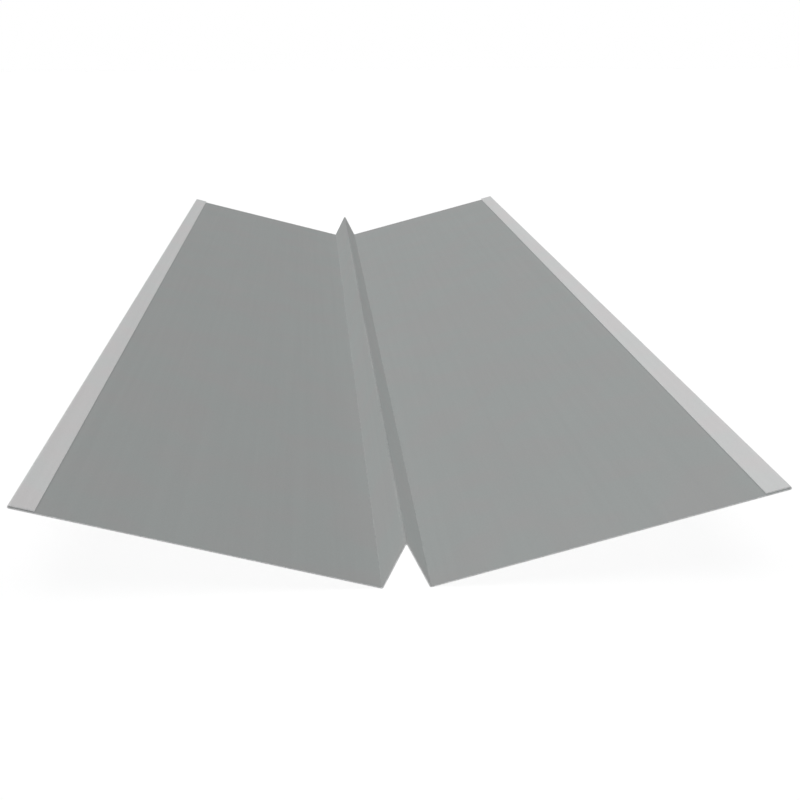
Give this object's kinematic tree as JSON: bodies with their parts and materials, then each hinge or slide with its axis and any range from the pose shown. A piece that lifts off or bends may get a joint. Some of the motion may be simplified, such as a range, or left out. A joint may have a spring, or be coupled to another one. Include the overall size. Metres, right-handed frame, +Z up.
{
  "type": "w-valley flashing",
  "caption": "Bent sheet-metal lining for a roof valley: wings slope up from a raised inverted-V rib along the middle, and the outer edges are folded over into open hems.",
  "frame": {"origin": "under the middle of the sheet, on the level floor that the creases stand on", "axes": "+X across the valley, +Y along its length, +Z up; the sheet looks the same from either end and either side"},
  "size_m": [0.4064, 1.2192, 0.0516],
  "materials": {
    "painted_sheet": "matte grey coat, with a paler grey coat on the reverse"
  },
  "bodies": {
    "root": {"valley_sheet": "painted_sheet"}
  },
  "joints": []
}
